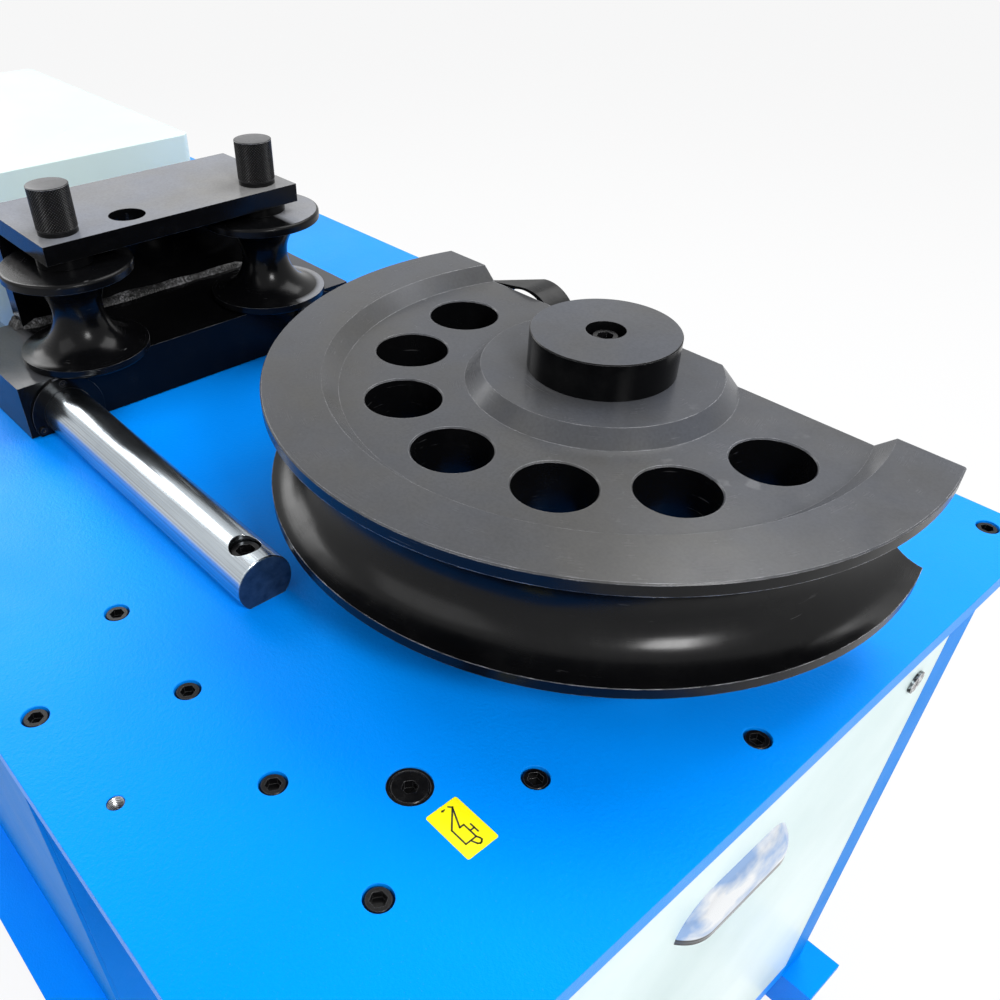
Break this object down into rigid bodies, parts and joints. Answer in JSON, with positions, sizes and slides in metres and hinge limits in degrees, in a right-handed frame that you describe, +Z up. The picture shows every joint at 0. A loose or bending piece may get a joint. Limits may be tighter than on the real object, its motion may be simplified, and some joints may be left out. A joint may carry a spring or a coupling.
{
  "type": "hydraulic tube bending machine",
  "caption": "Rotary-draw hydraulic tube bender: blue cabinet table, grooved half-round former on a rack-driven spindle, and a hydraulic carriage with grooved rollers on guide rods.",
  "frame": {"origin": "bottom centre of the bounding box, on the floor", "axes": "+X along the table from the push cylinder to the former and the door, +Y across the table to the flat side of the former, +Z up"},
  "size_m": [1.57, 0.876, 0.893],
  "materials": {
    "blue_paint": "semi-gloss enamel",
    "white_paint": "semi-gloss enamel",
    "black_oxide": "black oxide with bright edges",
    "screw_black": "black oxide",
    "machined_steel": "ground",
    "chrome": "polished",
    "bronze": "turned",
    "cast_black": "painted black",
    "motor_grey": "satin",
    "valve_metal": "machined"
  },
  "bodies": {
    "frame": {"table_plate": "blue_paint", "table_screws": "screw_black", "oil_plug": "screw_black", "cabinet_posts": "blue_paint", "cabinet_rails": "blue_paint", "front_side_panels": "blue_paint", "rear_side_panels": "blue_paint", "rear_end_panel": "blue_paint", "step_panels": "blue_paint", "floor_pan": "blue_paint", "skid_angles": "blue_paint", "front_feet": "blue_paint", "cylinder_cover": "white_paint", "push_cylinder": "cast_black", "push_cylinder_mounts": "cast_black", "guide_rods": "chrome", "rod_screws": "screw_black", "bearing_housing": "cast_black", "housing_bolts": "screw_black", "spindle_bearings": "machined_steel", "drive_cylinder": "cast_black", "drive_cylinder_head": "cast_black", "rack_guide": "machined_steel", "oil_tank": "blue_paint", "tank_lid": "blue_paint", "pump_motor": "motor_grey", "oil_pump": "valve_metal", "valve_block": "valve_metal", "hinge_frame_halves": "machined_steel", "lock_strike": "machined_steel"},
    "former": {"bending_former": "black_oxide", "spindle": "machined_steel", "spindle_keys": "machined_steel", "pinion": "machined_steel", "spindle_nut": "machined_steel", "spindle_cap": "black_oxide", "cap_screw": "screw_black", "hook_pin": "machined_steel"},
    "hook": {"hook_clamp": "black_oxide"},
    "rack": {"drive_rack": "machined_steel", "drive_piston_rod": "chrome"},
    "carriage": {"carriage_block": "black_oxide", "carriage_web": "black_oxide", "carriage_top_plate": "black_oxide", "rod_bushes": "bronze", "wiper_rings": "black_oxide", "wiper_screws": "screw_black", "push_piston_rod": "chrome", "roller_spacers": "black_oxide"},
    "left_roller": {"roller_left": "black_oxide"},
    "right_roller": {"roller_right": "black_oxide"},
    "left_pin": {"pin_left": "black_oxide"},
    "right_pin": {"pin_right": "black_oxide"},
    "door": {"door_panel": "white_paint", "door_handle": "chrome", "hinge_door_halves": "machined_steel"},
    "lock": {"door_lock": "chrome"}
  },
  "joints": [
    {"name": "former_turn", "type": "hinge", "parent": "frame", "child": "former", "pos_m": [0.47, 0.1, 0.774], "axis": [0, 0, 1], "range_deg": [-190, 0]},
    {"name": "hook_swing", "type": "hinge", "parent": "former", "child": "hook", "pos_m": [0.2595, 0.19, 0.774], "axis": [0, 0, 1], "range_deg": [0, 180]},
    {"name": "rack_slide", "type": "slide", "parent": "frame", "child": "rack", "axis": [1, 0, 0], "range_m": [0, 0.22]},
    {"name": "carriage_slide", "type": "slide", "parent": "frame", "child": "carriage", "axis": [1, 0, 0], "range_m": [0, 0.15]},
    {"name": "left_roller_spin", "type": "hinge", "parent": "carriage", "child": "left_roller", "pos_m": [-0.012, -0.124, 0.774], "axis": [0, 0, 1], "continuous": true},
    {"name": "right_roller_spin", "type": "hinge", "parent": "carriage", "child": "right_roller", "pos_m": [-0.012, 0.098, 0.774], "axis": [0, 0, 1], "continuous": true},
    {"name": "left_pin_lift", "type": "slide", "parent": "carriage", "child": "left_pin", "axis": [0, 0, 1], "range_m": [0, 0.16]},
    {"name": "right_pin_lift", "type": "slide", "parent": "carriage", "child": "right_pin", "axis": [0, 0, 1], "range_m": [0, 0.16]},
    {"name": "door_swing", "type": "hinge", "parent": "frame", "child": "door", "pos_m": [0.752, -0.2475, 0.37], "axis": [0, 0, 1], "range_deg": [-110, 0]},
    {"name": "lock_turn", "type": "hinge", "parent": "door", "child": "lock", "pos_m": [0.746, 0.206, 0.61], "axis": [1, 0, 0], "range_deg": [0, 90]}
  ],
  "couplings": [
    {"joint": "rack_slide", "follows": "former_turn", "m_per_rad": -0.066}
  ]
}
